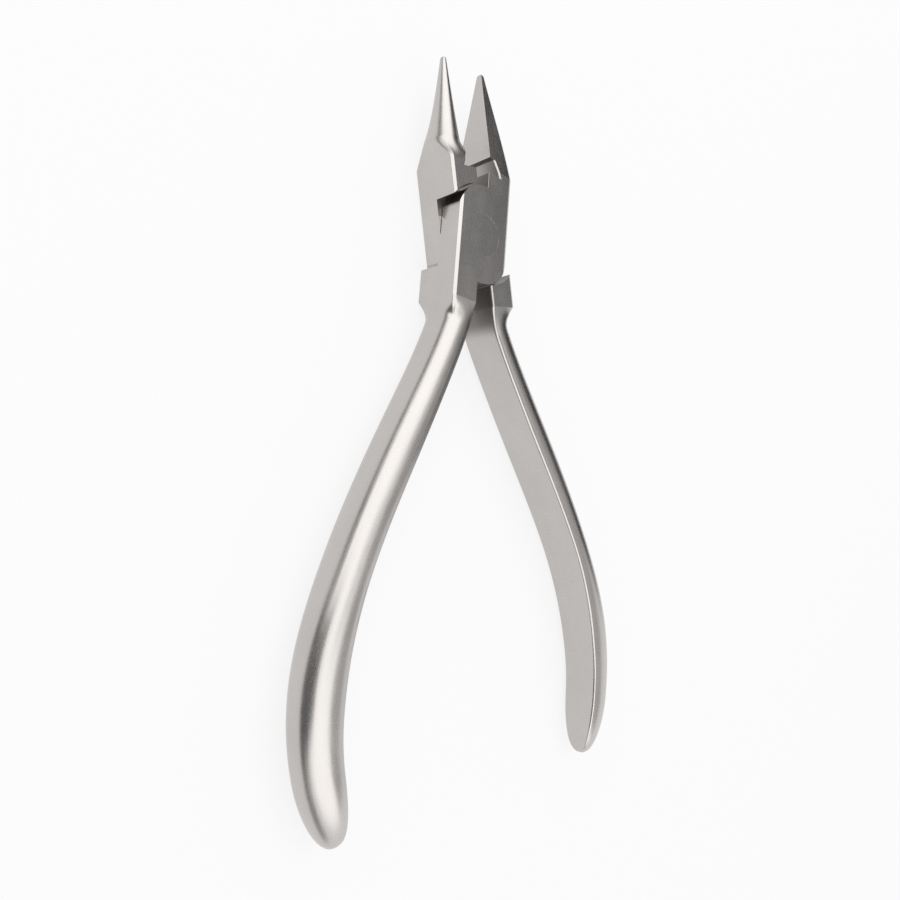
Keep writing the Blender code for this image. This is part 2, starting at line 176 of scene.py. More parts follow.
class PliersHandles(bpy.types.PropertyGroup):
    """Sizes of the bowed handles."""

    root: place("Root", "Start of the grip", (3.75 * MM, 17.6 * MM))
    bow: place("Bow", "Widest point of the bow", (23.45 * MM, 78.0 * MM))
    end: place("End", "End of the centre line", (17.9 * MM, 100.6 * MM))
    root_angle: angle("Root angle", "Slope of the centre line at the root", 18.0)
    end_angle: angle("End angle", "Slope of the centre line at the end", 20.0)
    root_width: length("Root width", "Inner side to outer side at the root", 5.1 * MM)
    mid_width: length("Middle width", "Inner side to outer side half way", 5.8 * MM)
    bow_width: length("Bow width", "Inner side to outer side at the bow", 6.9 * MM)
    end_width: length("End width", "Inner side to outer side near the end", 6.1 * MM)
    root_thickness: length("Root thickness", "Front to rear at the root", 8.6 * MM)
    mid_thickness: length("Middle thickness", "Front to rear half way", 9.0 * MM)
    bow_thickness: length("Bow thickness", "Front to rear at the bow", 7.4 * MM)
    outer_flat: length("Outer flat", "Width of the outer side's flat near the joint", 2.5 * MM)
    bow_flat: length("Bow flat", "Width of the outer side's flat from the bow on", 0.8 * MM)
    inner_share: share("Inner share", "Inner side's height as a share of the thickness", 0.91)
    crown_place: share("Crown place", "Where the section is thickest, from the inner side", 0.3)
    inner_round: length("Inner round", "Rounding of the inner side's edges", 0.5 * MM)
    tip_rounding: length("Tip rounding", "Length of the rounded end", 11.0 * MM)
    tip_lean: length("Tip lean", "How far the tip leans to the inner side", 0.9 * MM)
    parting: length("Parting", "Between the closed handles' roots", 0.7 * MM)


class PliersRivet(bpy.types.PropertyGroup):
    """Sizes of the flush rivet."""

    head_radius: length("Head radius", "Radius at the faces", 3.8 * MM)
    shank_radius: length("Shank radius", "Radius between the countersinks", 2.6 * MM)
    head_depth: length("Head depth", "Depth of a countersink", 1.4 * MM)
    seam: length("Seam", "Between the rivet and its hole", 0.01 * MM)
    dome: length("Dome", "How much lower the head's edge is than its middle", 0.012 * MM)


class PliersSteel(bpy.types.PropertyGroup):
    """Finish of the satin steel."""

    body: colour("Steel", "Satin steel", (0.545, 0.522, 0.505))
    # The raw colour is partly the real unpolished steel and partly painted shade: it also darkens
    # the handles' inner sides near the joint and the faces inside the joint and its recesses.
    raw_and_shade: colour("Machined steel", "Steel of the unpolished recesses", (0.27, 0.255, 0.245))
    rivet: colour("Rivet steel", "Steel of the rivet", (0.53, 0.51, 0.494))
    edge: colour("Polished edge", "Steel where handling has polished an edge", (0.66, 0.645, 0.63))
    roughness: share("Roughness", "Roughness of the satin", 0.27)
    edge_roughness: share("Edge roughness", "Roughness of a polished edge", 0.17)
    raw_roughness: share("Machined roughness", "Roughness of the unpolished recesses", 0.42)
    grain: length("Grain", "Width of the finishing marks", 0.07 * MM)
    grain_depth: length("Grain depth", "Depth of the finishing marks", 0.0009 * MM)
    cloud: length("Cloud", "Size of the faint clouds in the finish", 6.0 * MM)
    scratch: length("Scratch", "Width of the hairline scratches", 0.035 * MM)
    scratch_depth: length("Scratch depth", "Depth of the hairline scratches", 0.0008 * MM)


class PliersStudio(bpy.types.PropertyGroup):
    """Floor, lights and camera."""

    floor: colour("Floor", "Pale floor", (0.9, 0.9, 0.9))
    floor_glow: share("Floor glow", "White that the camera and reflections see in the floor", 0.8)
    room: share("Room level", "Level of the even light from all round", 0.8)
    softbox: amount("Softbox", "Power of the large softbox", 3.4, subtype="POWER", unit="POWER")
    right_tone: share("Right panel", "Tone that the steel reflects on the right", 0.26)
    low_right_tone: share("Low right panel", "Tone that the steel reflects low on the right", 0.06)
    low_tone: share("Low panel", "Tone that the steel reflects low on the left", 0.3)
    near_tone: share("Near panel", "Tone that the steel reflects beside the camera", 0.12)
    side_tone: share("Side panel", "Tone that the steel reflects on the far right", 0.5)
    bright_tone: amount("Bright panel", "Tone that the steel reflects at the upper left", 1.8)
    top_tone: amount("Top panel", "Tone that the steel reflects overhead", 1.75)
    lens: amount("Lens", "Focal length in millimetres", 32.3, low=1.0)
    distance: length("Camera distance", "From the camera to its aim", 144.3 * MM)
    aim: length("Aim", "How far below the pivot the camera aims", 35.0 * MM)
    azimuth: angle("Camera azimuth", "From the front face towards the side with the cone", 45.06)
    elevation: angle("Camera elevation", "Towards the tips", -4.74)
    roll: angle("Camera roll", "Turn about the line of sight", -1.02)


# Sections. Each is a ring of (across, up) points in the same order: the inner side going up, the
# front going out, the outer side going down, the rear going in.

def lerp(a, b, t):
    return a + (b - a) * t


def smooth(t):
    t = min(max(t, 0.0), 1.0)
    return t * t * (3 - 2 * t)


def line(start, end, steps):
    """Points from start towards end, without the end."""
    points = []
    for i in range(steps):
        t = i / steps
        points.append((lerp(start[0], end[0], t), lerp(start[1], end[1], t)))
    return points


def arc(centre, radius, start, end, steps):
    """Points on an arc from start towards end, in degrees, without the end."""
    points = []
    for i in range(steps):
        turn = math.radians(lerp(start, end, i / steps))
        points.append((centre[0] + radius * math.cos(turn), centre[1] + radius * math.sin(turn)))
    return points


def mirrored(half):
    """The whole ring, from its front half that runs from the inner to the outer middle."""
    return half + [(across, -up) for across, up in reversed(half[1:-1])]


def block_ring(inner, outer, half, across, deep, inner_round, edge_round):
    """A rectangle with bevelled outer corners and rounded inner ones, and no sharp edge."""
    slope = math.degrees(math.atan2(deep, across))
    face_tangent = edge_round * math.tan(math.radians(slope / 2))
    side_tangent = edge_round * math.tan(math.radians((90 - slope) / 2))
    face_end = outer - across - face_tangent
    side_start = half - deep - side_tangent
    points = line((inner, 0), (inner, half - inner_round), SIDE_STEPS)
    points += arc((inner + inner_round, half - inner_round), inner_round, 180, 90, CORNER_STEPS)
    points += line((inner + inner_round, half), (face_end, half), FACE_STEPS)
    points += arc((face_end, half - edge_round), edge_round, 90, 90 - slope, 3)
    points += arc((face_end, half - edge_round), edge_round, 90 - slope, 0, 1)
    points += arc((outer - edge_round, side_start), edge_round, 90 - slope, 0, 3)
    points += line((outer, side_start), (outer, 0), SIDE_STEPS)
    return mirrored(points + [(outer, 0)])


def joint_ring(joint, inner, outer, half, inner_round):
    """A block section with the joint's own bevels."""
    return block_ring(inner, outer, half, joint.bevel_across, joint.bevel_deep, inner_round,
                      joint.edge_round)


def round_ring(centre, radius):
    """A circle whose zones lie where those of the block ring do."""
    zones = [(0, 25.7, SIDE_STEPS), (25.7, 51.4, CORNER_STEPS), (51.4, 128.6, FACE_STEPS),
             (128.6, 154.3, CORNER_STEPS), (154.3, 180, SIDE_STEPS)]
    points = []
    for start, end, steps in zones:
        points += arc((centre, 0), radius, 180 - start, 180 - end, steps)
    return mirrored(points + [(centre + radius, 0)])


def grip_ring(handles, inner, outer, half, flat_half, inner_round):
    """A handle's section: flat inner side, crowned front and rear, narrow flat outer side."""
    crown = lerp(inner, outer, handles.crown_place)
    inner_half = half * handles.inner_share
    flat_half = min(flat_half, inner_half)

    def inner_height(across):
        return half - (half - inner_half) * ((crown - across) / (crown - inner)) ** 2

    start = inner + inner_round
    height = inner_height(start)
    points = line((inner, 0), (inner, height - inner_round), SIDE_STEPS)
    points += arc((start, height - inner_round), inner_round, 180, 90, CORNER_STEPS)
    inner_steps = 5
    for i in range(inner_steps):
        across = lerp(start, crown, i / inner_steps)
        points.append((across, inner_height(across)))
    flat_steps = 3
    zones = [(0, 38, FACE_STEPS - inner_steps), (38, 52, CORNER_STEPS),
             (52, 90, SIDE_STEPS - flat_steps)]
    for first, last, steps in zones:
        for i in range(steps):
            turn = math.radians(lerp(first, last, i / steps))
            points.append((lerp(crown, outer, math.sin(turn)),
                           lerp(flat_half, half, math.cos(turn))))
    points += line((outer, flat_half), (outer, 0), flat_steps)
    return mirrored(points + [(outer, 0)])


def blend_rings(first, second, t):
    return [(lerp(a[0], b[0], t), lerp(a[1], b[1], t)) for a, b in zip(first, second)]


# Meshes

def mesh_from(name, bm, finish=SATIN):
    """A smooth mesh whose faces all have one finish."""
    bmesh.ops.recalc_face_normals(bm, faces=bm.faces)
    for face in bm.faces:
        face.material_index = finish
    mesh = bpy.data.meshes.new(name)
    for _ in (SATIN, POLISHED, MACHINED, DULL):
        mesh.materials.append(None)
    bm.to_mesh(mesh)
    bm.free()
    mesh.shade_smooth()
    return mesh


def skin(bm, loops):
    """Faces between each closed loop of points and the next."""
    for lower, upper in zip(loops, loops[1:]):
        for i in range(len(lower)):
            j = (i + 1) % len(lower)
            bm.faces.new((lower[i], lower[j], upper[j], upper[i]))


def capped_mesh(name, bm, loops, finish=SATIN):
    """A mesh with a skin over the loops and a flat face at each end."""
    skin(bm, loops)
    bm.faces.new(loops[0])
    bm.faces.new(loops[-1])
    return mesh_from(name, bm, finish)


def extruded_mesh(name, corners, offset, finish=SATIN):
    """A mesh of a flat outline that is drawn out by an offset."""
    bm = bmesh.new()
    base = bm.faces.new([bm.verts.new(corner) for corner in corners])
    grown = bmesh.ops.extrude_face_region(bm, geom=[base])
    far = [item for item in grown["geom"] if isinstance(item, bmesh.types.BMVert)]
    bmesh.ops.translate(bm, verts=far, vec=offset)
    return mesh_from(name, bm, finish)


def loft_mesh(name, sections, side):
    """Skin a list of (ring, place, direction across). side is +1 for a beak, -1 for a handle."""
    bm = bmesh.new()
    loops = []
    for ring, middle, across in sections:
        loop = []
        for out, up in ring:
            flat = middle + across * out
            loop.append(bm.verts.new((side * flat.x, flat.y, up)))
        loops.append(loop)
    return capped_mesh(name, bm, loops)


def prism_mesh(name, outline, low, high, finish):
    """Extrude a closed outline of (x, y) points from the height low to the height high."""
    return extruded_mesh(name, [(x, y, low) for x, y in outline], (0, 0, high - low), finish)


def turned_mesh(name, profile):
    """Turn a profile of (radius, z) points, which starts and ends on the Z axis."""
    bm = bmesh.new()
    rings = []
    for radius, height in profile[1:-1]:
        ring = []
        for i in range(ROUND_STEPS):
            turn = 2 * math.pi * i / ROUND_STEPS
            ring.append(bm.verts.new((radius * math.cos(turn), radius * math.sin(turn), height)))
        rings.append(ring)
    skin(bm, rings)
    for ring, end in ((rings[0], profile[0]), (rings[-1], profile[-1])):
        middle = bm.verts.new((0, 0, end[1]))
        for i in range(ROUND_STEPS):
            bm.faces.new((ring[i], ring[(i + 1) % ROUND_STEPS], middle))
    return mesh_from(name, bm)


# Beaks

def block_sections(joint, parting):
    """The part of a beak inside the joint, as a straight block."""
    ring = joint_ring(joint, parting / 2, joint.half_width, joint.thickness / 2, joint.inner_round)
    return [(ring, Vector((0, y)), Vector((1, 0))) for y in (BLOCK_START * joint.top, joint.top)]


def pyramid_mesh(joint, beaks):
    """A square pyramid whose working face is flat and almost on the parting line."""
    gap = beaks.parting / 2
    tip_width = beaks.pyramid_tip_width
    tip_half = beaks.pyramid_tip_thickness / 2
    sections = block_sections(joint, beaks.parting)
    hollow = 0.35
    relief_rate = 6
    tip_across, tip_deep = tip_width * 0.2, tip_half * 0.4
    tip_inner_round, tip_edge_round = tip_width * 0.06, tip_width * 0.1
    steps = 40
    # The last stations, as shares of the length and of the rounding there
    tip_rings = ((0.985, 0.0), (0.992, 0.05), (0.997, 0.13), (1.0, 0.27))
    stations = [(i / steps, 0.0) for i in range(1, steps)] + list(tip_rings)
    for t, rounding in stations:
        ease = t - hollow * t * (1 - t) * (1 - t)
        inner = gap + beaks.pyramid_relief * smooth(t * relief_rate) * (1 - t)
        outer = lerp(joint.half_width, gap + tip_width, ease)
        half = lerp(joint.thickness / 2, tip_half, t)
        shrink = rounding * tip_width * 0.5
        ring = block_ring(inner + shrink, outer - shrink, half - shrink,
                          lerp(joint.bevel_across, tip_across, t),
                          lerp(joint.bevel_deep, tip_deep, t),
                          lerp(joint.inner_round, tip_inner_round, t),
                          lerp(joint.edge_round, tip_edge_round, t))
        sections.append((ring, Vector((0, joint.top + beaks.reach * t)), Vector((1, 0))))
    return loft_mesh("pyramid_beak", sections, 1)


def cone_radius(beaks, distance):
    """Radius at a distance above the joint: straight cone, flare at its root, wider shoulder."""
    along = (distance - beaks.cone_root) / (beaks.reach - beaks.cone_root)
    if along < 0:
        shoulder = beaks.cone_root_radius + beaks.cone_flare
        return shoulder + beaks.cone_slope * (beaks.cone_root - distance)
    straight = lerp(beaks.cone_root_radius, beaks.cone_tip_radius, along)
    return straight + beaks.cone_flare * (1 - along) ** 4


def cone_mesh(joint, beaks):
    """A round cone that swells through a shoulder into the joint's block."""
    gap = beaks.parting / 2
    sections = block_sections(joint, beaks.parting)
    across = Vector((1, 0))
    shoulder_steps = 26
    for i in range(1, shoulder_steps):
        t = i / shoulder_steps
        distance = beaks.cone_root * t
        radius = cone_radius(beaks, distance)
        lean = distance / beaks.reach
        block = joint_ring(joint, gap, lerp(joint.half_width, gap, lean),
                           lerp(joint.thickness / 2, beaks.cone_tip_radius, lean),
                           joint.inner_round)
        ring = blend_rings(block, round_ring(gap + radius, radius), smooth(t))
        sections.append((ring, Vector((0, joint.top + distance)), across))
    cone_steps = 44
    tip_length = beaks.cone_tip_radius * 0.7
    straight = beaks.reach - tip_length
    for i in range(cone_steps + 1):
        distance = lerp(beaks.cone_root, straight, i / cone_steps)
        radius = cone_radius(beaks, distance)
        ring = round_ring(gap + radius, radius)
        sections.append((ring, Vector((0, joint.top + distance)), across))
    for turn in (20, 40, 58, 74, 86):
        distance = straight + tip_length * math.sin(math.radians(turn))
        radius = cone_radius(beaks, distance)
        ring = round_ring(gap + radius, radius * math.cos(math.radians(turn)))
        sections.append((ring, Vector((0, joint.top + distance)), across))
    return loft_mesh("cone_beak", sections, 1)


# Handles

def bezier(points, t):
    a, b, c, d = points
    s = 1 - t
    return a * s ** 3 + b * (3 * s * s * t) + c * (3 * s * t * t) + d * t ** 3


def bezier_direction(points, t):
    a, b, c, d = points
    s = 1 - t
    return ((b - a) * (s * s) + (c - b) * (2 * s * t) + (d - c) * (t * t)).normalized()


def handle_line(handles):
    """Points of a handle's centre line, as (place, direction, length from the root)."""
    root, bow, end = (Vector((across, -along))
                      for across, along in (handles.root, handles.bow, handles.end))
    leave = Vector((math.sin(handles.root_angle), -math.cos(handles.root_angle)))
    arrive = Vector((-math.sin(handles.end_angle), -math.cos(handles.end_angle)))
    down = Vector((0, -1))
    upper_pull, lower_pull = 0.305, 0.4
    upper = (bow - root).length * upper_pull
    lower = (end - bow).length * lower_pull
    curves = ((root, root + leave * upper, bow - down * upper, bow),
              (bow, bow + down * lower, end - arrive * lower, end))
    fine = 240
    centre = []
    distance = 0.0
    last = root
    for curve in curves:
        for i in range(fine + 1):
            spot = bezier(curve, i / fine)
            distance += (spot - last).length
            centre.append((spot, bezier_direction(curve, i / fine), distance))
            last = spot
    return centre


def station(centre, distance):
    """The centre line at a distance from the root."""
    for before, after in zip(centre, centre[1:]):
        if after[2] >= distance and after[2] > before[2]:
            t = (distance - before[2]) / (after[2] - before[2])
            return before[0].lerp(after[0], t), before[1].lerp(after[1], t).normalized()
    return centre[-1][0], centre[-1][1]


def grip_size(handles, part):
    """Width and thickness of a handle at a share of its length.

    It widens over the first third, widens again to the bow at three quarters, and narrows after it.
    """
    if part < 0.5:
        width = lerp(handles.root_width, handles.mid_width, smooth(part * 3))
        return width, lerp(handles.root_thickness, handles.mid_thickness, smooth(part * 2.5))
    width = lerp(handles.mid_width, handles.bow_width, smooth((part - 0.5) * 4))
    width = lerp(width, handles.end_width, smooth((part - 0.72) * 4))
    return width, lerp(handles.mid_thickness, handles.bow_thickness, smooth((part - 0.5) * 2))


def handle_mesh(joint, handles):
    """Block at the joint, short blend into the grip section, bowed grip, rounded end.

    The outer flat narrows from a tenth to six tenths of the handle's length.
    """
    gap = handles.parting / 2
    middle = (gap + joint.half_width) / 2
    half_width = joint.half_width - middle
    block = joint_ring(joint, -half_width, half_width, joint.thickness / 2, handles.inner_round)
    sections = [(block, Vector((middle, -y)), Vector((1, 0)))
                for y in (BLOCK_START * joint.bottom, joint.bottom)]
    centre = handle_line(handles)
    root, direction, _ = centre[0]
    total = centre[-1][2]
    grip = grip_ring(handles, -handles.root_width / 2, handles.root_width / 2,
                     handles.root_thickness / 2, handles.outer_flat / 2, handles.inner_round)
    blend_steps = 24
    blend_rate = 1.15
    run = -joint.bottom - root.y
    shift = root.x - middle
    slope = -direction.x / direction.y * run
    for i in range(1, blend_steps):
        t = i / blend_steps
        spot = Vector((middle + (3 * shift - slope) * t ** 2 + (slope - 2 * shift) * t ** 3,
                       lerp(-joint.bottom, root.y, t)))
        lean = math.atan(((6 * shift - 2 * slope) * t + (3 * slope - 6 * shift) * t ** 2) / run)
        across = Vector((math.cos(lean), math.sin(lean)))
        eased = 1 - (1 - min(1, blend_rate * t)) ** 2
        sections.append((blend_rings(block, grip, eased), spot, across))
    straight = total - handles.tip_rounding
    grip_steps = 110
    tip_steps = 26
    tip_fullness = 0.85
    stations = [(straight * i / grip_steps, 1.0, 0.0) for i in range(grip_steps)]
    for i in range(tip_steps + 1):
        turn = math.pi / 2 * i / (tip_steps + 0.35)
        shift = handles.tip_lean * (1 - math.cos(turn))
        stations.append((straight + handles.tip_rounding * math.sin(turn),
                         math.cos(turn) ** tip_fullness, shift))
    for distance, size, shift in stations:
        spot, direction = station(centre, distance)
        width, thickness = grip_size(handles, distance / total)
        across = Vector((-direction.y, direction.x))
        half = width / 2 * size
        flat = lerp(handles.outer_flat, handles.bow_flat, smooth(2 * distance / total - 0.2))
        ring = grip_ring(handles, -half, half, thickness / 2 * size, flat / 2 * size,
                         handles.inner_round * size)
        sections.append((ring, spot - across * shift, across))
    return loft_mesh("handle", sections, -1)


# Plate, recess, notch and hole

def plate_mesh(joint):
    """Half-thickness plate with bevelled straight sides, before its ends are rounded."""
    low = joint.lap_gap / 2
    high = joint.thickness / 2
    width = joint.half_width
    reach = joint.recess_radius - joint.end_gap
    rounded = joint_ring(joint, -width, width, high, joint.inner_round)
    corner = SIDE_STEPS + CORNER_STEPS + FACE_STEPS
    right = [(x, z) for x, z in rounded[corner:corner + CORNER_STEPS + FACE_STEPS + 1]
             if z > low and x > 0]
    section = [(-width, low), (width, low)] + list(reversed(right))
    section += [(-x, z) for x, z in right]
    return extruded_mesh("plate", [(x, -reach, z) for x, z in section], (0, 2 * reach, 0))


def plate_end_mesh(joint, parting):
    """Cutter that rounds the plate's upper left end, or its lower right one when turned."""
    radius = joint.half_width + joint.end_overhang
    middle = joint.recess_radius - joint.end_gap - radius
    beyond = 2 * joint.recess_radius
    lean = math.degrees(math.acos(parting / 2 / radius))
    outline = arc((0, middle), radius, 180, 180 - lean, 36)
    last = math.radians(180 - lean)
    outline.append((radius * math.cos(last), middle + radius * math.sin(last)))
    outline += [(-parting / 2, beyond), (-beyond, beyond), (-beyond, middle)]
    return prism_mesh("plate_end", outline, 0, joint.thickness, DULL)


def recess_mesh(joint):
    """Cutter for the round recess in the lower half, in which the other arm's plate turns."""
    outline = arc((0, 0), joint.recess_radius, 0, 360, ROUND_STEPS)
    return prism_mesh("lap_recess", outline, -joint.thickness, joint.lap_gap / 2, MACHINED)


def corner_mesh(joint, parting):
    """Cutter for the corner of the beak's root beside the recess."""
    left = parting / 2 - joint.corner_cut
    low = joint.recess_radius - joint.corner_cut
    outline = [(left, low), (parting / 2 + 2 * joint.corner_cut, low),
               (left, joint.recess_radius + 2 * joint.corner_cut)]
    return prism_mesh("shoulder_corner", outline, -joint.thickness, joint.lap_gap / 2, MACHINED)


def notch_mesh(joint, beaks, runout):
    """Cutter for the wire relief at a beak's root, which flares at both faces to bevel its wall.

    The runout is how much higher the cut ends at the beak's inner side than at its own wall.
    """
    bottom = joint.top - beaks.notch_drop
    top = bottom + beaks.notch_height
    half = joint.thickness / 2
    taper = (half - beaks.pyramid_tip_thickness / 2) / beaks.reach
    top_face = half - taper * (top - joint.top)
    middle_depth = lerp(beaks.notch_depth, beaks.notch_top_depth, beaks.notch_drop / (top - bottom))
    across = beaks.notch_bevel
    deep = across / 2
    bm = bmesh.new()
    loops = []
    for side, out, up in ((-1, 3 * across, 2 * deep), (-1, 0, -deep), (1, 0, -deep),
                          (1, 3 * across, 2 * deep)):
        low_z, high_z = side * (half + up), side * (top_face + up)
        corners = ((-beaks.notch_depth, bottom, low_z), (beaks.notch_depth + out, bottom, low_z),
                   (middle_depth + out, joint.top, low_z),
                   (beaks.notch_top_depth + out, top, high_z),
                   (-beaks.notch_depth, top + runout, high_z))
        loops.append([bm.verts.new(corner) for corner in corners])
    return capped_mesh("notch", bm, loops, DULL)


def hole_mesh(joint, rivet):
    """Cutter for the rivet's hole, countersunk at both faces."""
    half = joint.thickness / 2
    shank = rivet.shank_radius + rivet.seam
    head = rivet.head_radius + rivet.seam
    slope = (rivet.head_radius - rivet.shank_radius) / rivet.head_depth
    above = 0.5 * MM
    wide = head + slope * above
    return turned_mesh("rivet_hole", [
        (0, -half - above), (wide, -half - above), (shank, -half + rivet.head_depth),
        (shank, half - rivet.head_depth), (wide, half + above), (0, half + above)])


def rivet_mesh(joint, rivet):
    """A rivet with two countersunk heads, each faintly domed by the peening."""
    half = joint.thickness / 2
    radius = rivet.head_radius
    steps = 14
    head = []
    for i in range(steps + 1):
        out = radius * i / steps
        head.append((out, half - rivet.dome * (i / steps) ** 2))
    neck = half - rivet.head_depth
    profile = [(out, -up) for out, up in head] + [(rivet.shank_radius, -neck)]
    profile += [(rivet.shank_radius, neck)] + list(reversed(head))
    return turned_mesh("rivet", profile)


# Putting an arm together

def new_object(name, mesh):
    obj = bpy.data.objects.new(name, mesh)
    bpy.context.scene.collection.objects.link(obj)
    return obj


def combine(target, operation, mesh, turn=0.0):
    """Add a Boolean of a mesh to an object. Gives back the object that holds the mesh."""
    other = new_object(target.name + "_" + mesh.name, mesh)
    other.rotation_euler = (0, 0, turn)
    modifier = target.modifiers.new(mesh.name, "BOOLEAN")
    modifier.operation = operation
    modifier.solver = "EXACT"
    modifier.object = other
    return other


def applied(obj, name):
    """A new mesh of the object with its modifiers applied."""
    bpy.context.view_layer.update()
    graph = bpy.context.evaluated_depsgraph_get()
    mesh = bpy.data.meshes.new_from_object(obj.evaluated_get(graph), depsgraph=graph)
    mesh.name = name
    return mesh


def prepare_edges(mesh, rivet):
    """Merge stray points, join faces of one plane, and pick the sharp edges to be broken."""
    stray = 0.002 * MM
    one_plane = math.radians(0.05)
    sharp = math.radians(28)
    bm = bmesh.new()
    bm.from_mesh(mesh)
    bmesh.ops.remove_doubles(bm, verts=bm.verts, dist=stray)
    bmesh.ops.dissolve_limit(bm, angle_limit=one_plane, use_dissolve_boundaries=False,
                             verts=bm.verts, edges=bm.edges, delimit={"MATERIAL"})
    loose = [edge for edge in bm.edges if not edge.link_faces]
    bmesh.ops.delete(bm, geom=loose, context="EDGES")
    bmesh.ops.recalc_face_normals(bm, faces=bm.faces)
    weight = bm.edges.layers.float.new("bevel_weight_edge")
    hole = rivet.head_radius * 1.1
    for edge in bm.edges:
        middle = (edge.verts[0].co + edge.verts[1].co) / 2
        if edge.calc_face_angle(0) > sharp:
            edge[weight] = float(middle.xy.length > hole)
            edge.smooth = middle.xy.length > hole
    bm.to_mesh(mesh)
    bm.free()


def keep_flats_flat(mesh):
    """Shade large faces flat, and let the small faces round them take up the turn."""
    large = 3 * MM ** 2
    crease = math.radians(40)
    around = [[] for _ in mesh.vertices]
    for face in mesh.polygons:
        for index in face.vertices:
            around[index].append((face.area, face.normal))
    normals = []
    for face in mesh.polygons:
        for index in face.vertices:
            near = [other for other in around[index] if face.normal.angle(other[1], 0) < crease]
            area, normal = max(near, key=lambda item: item[0])
            if face.area > large:
                normal = face.normal
            elif area < large:
                normal = sum((turned * size for size, turned in near), Vector()).normalized()
            normals.append(normal)
    mesh.normals_split_custom_set(normals)


def unpolished_and_shade_share(face, spot, joint):
    """How dark the steel is painted at one corner of a face, from 0 to 1: unpolished steel and
    painted shade.

    Cut faces are darkened fully and dull ones a little, as rougher unpolished steel that also
    paints the shade of the recesses. The handle's inner side near the joint and the side that faces
    the parting line inside the joint are darkened as painted shade, where the parts shade each
    other.
    """
    finish = {MACHINED: 1.0, DULL: 0.3}.get(face.material_index, 0.0)
    # Painted shade on the handle's inner side near the joint, fading out along the handle.
    if face.normal.x > 0.7 and spot.y < 0 and face.center.x < 0:
        return max(finish, 1.0 - smooth((-spot.y - joint.raw_and_shade_root) / joint.raw_and_shade_fade))
    # Painted shade on the side that faces the parting line inside the joint.
    if face.normal.x < -0.9 and 0 < spot.y < joint.top and abs(face.center.x) < joint.corner_cut:
        return 1.0
    return finish


def add_finish_and_shade_marks(mesh, joint):
    """Keep, for the material, the broken edges and where the steel is painted darker, as unpolished
    steel and as painted shade.
    """
    edges = []
    unpolished_and_shade = []
    for face in mesh.polygons:
        for index in face.vertices:
            edges.append(float(face.material_index == POLISHED))
            unpolished_and_shade.append(unpolished_and_shade_share(face, mesh.vertices[index].co, joint))
    for name, values in (("broken_edge", edges), ("unpolished_and_shade", unpolished_and_shade)):
        mesh.attributes.new(name, "FLOAT", "CORNER").data.foreach_set("value", values)
    for face in mesh.polygons:
        face.material_index = SATIN


def add_grain_place(mesh, handles):
    """Keep, for the material, each point's place across and along the arm's centre line."""
    centre = handle_line(handles)
    root = centre[0][0]
    spots = [centre[i] for i in range(0, len(centre), 6)]
    values = []
    for vertex in mesh.vertices:
        x, y, z = vertex.co
        if y > root.y or x > 0:
            values += [x + root.x, y, z]
            continue
        flat = Vector((-x, y))
        spot, direction, distance = min(spots, key=lambda item: (item[0] - flat).length_squared)
        away = flat - spot
        across = away.dot(Vector((-direction.y, direction.x)))
        values += [-across, root.y - distance - away.dot(direction), z]
    grain = mesh.attributes.new("grain_place", "FLOAT_VECTOR", "POINT")
    grain.data.foreach_set("vector", values)


def make_arm(name, beak, notch_runout, flipped, opening, settings):
    """Unite beak, handle and plate, cut recess, notch and hole, and break the edges."""
    joint, beaks, handles, rivet = settings
    plate = new_object(name + "_plate", plate_mesh(joint))
    helpers = [plate]
    helpers.append(combine(plate, "DIFFERENCE", plate_end_mesh(joint, beaks.parting)))
    helpers.append(combine(plate, "DIFFERENCE", plate_end_mesh(joint, beaks.parting), math.pi))
    whole_plate = applied(plate, "round_ended_plate")
    arm = new_object(name + "_blank", beak)
    helpers.append(arm)
    for operation, mesh in (
            ("UNION", handle_mesh(joint, handles)),
            ("DIFFERENCE", recess_mesh(joint)),
            ("DIFFERENCE", corner_mesh(joint, beaks.parting)),
            ("UNION", whole_plate),
            ("DIFFERENCE", notch_mesh(joint, beaks, notch_runout)),
            ("DIFFERENCE", hole_mesh(joint, rivet))):
        helpers.append(combine(arm, operation, mesh))
    mesh = applied(arm, name)
    prepare_edges(mesh, rivet)
    piece = new_object(name, mesh)
    edges = piece.modifiers.new("Broken edges", "BEVEL")
    edges.width = joint.edge_round
    edges.segments = 3
    edges.limit_method = "WEIGHT"
    edges.material = POLISHED
    finished = applied(piece, name)
    piece.modifiers.clear()
    piece.data = finished
    for helper in helpers:
        bpy.data.objects.remove(helper, do_unlink=True)
    keep_flats_flat(finished)
    add_finish_and_shade_marks(finished, joint)
    add_grain_place(finished, handles)
    turn = Matrix.Rotation(opening, 4, "Z")
    if flipped:
        turn = turn @ Matrix.Rotation(math.pi, 4, "Y")
    finished.transform(Matrix.Translation((0, 0, joint.thickness / 2)) @ turn)
    return piece


# Steel

def add_node(tree, kind, inputs=None, **settings):
    """Add a node, set its properties, and set or link its inputs."""
    made = tree.nodes.new(kind)
    for key, value in settings.items():
        setattr(made, key, value)
    for key, value in (inputs or {}).items():
        if isinstance(value, bpy.types.NodeSocket):
            tree.links.new(value, made.inputs[key])
        else:
            made.inputs[key].default_value = value
    return made


def stretched_noise(tree, spot, width, stretch, detail):
    """Noise with marks of a width, drawn out along the arm."""
    mapping = add_node(tree, "ShaderNodeMapping", {"Vector": spot, "Scale": (1, 1 / stretch, 1)})
    noise = add_node(tree, "ShaderNodeTexNoise", {
        "Vector": mapping.outputs["Vector"], "Scale": 1 / width, "Detail": detail,
        "Roughness": 0.6})
    return noise.outputs["Fac"]


def attribute(tree, name, output="Fac"):
    return add_node(tree, "ShaderNodeAttribute", attribute_name=name).outputs[output]


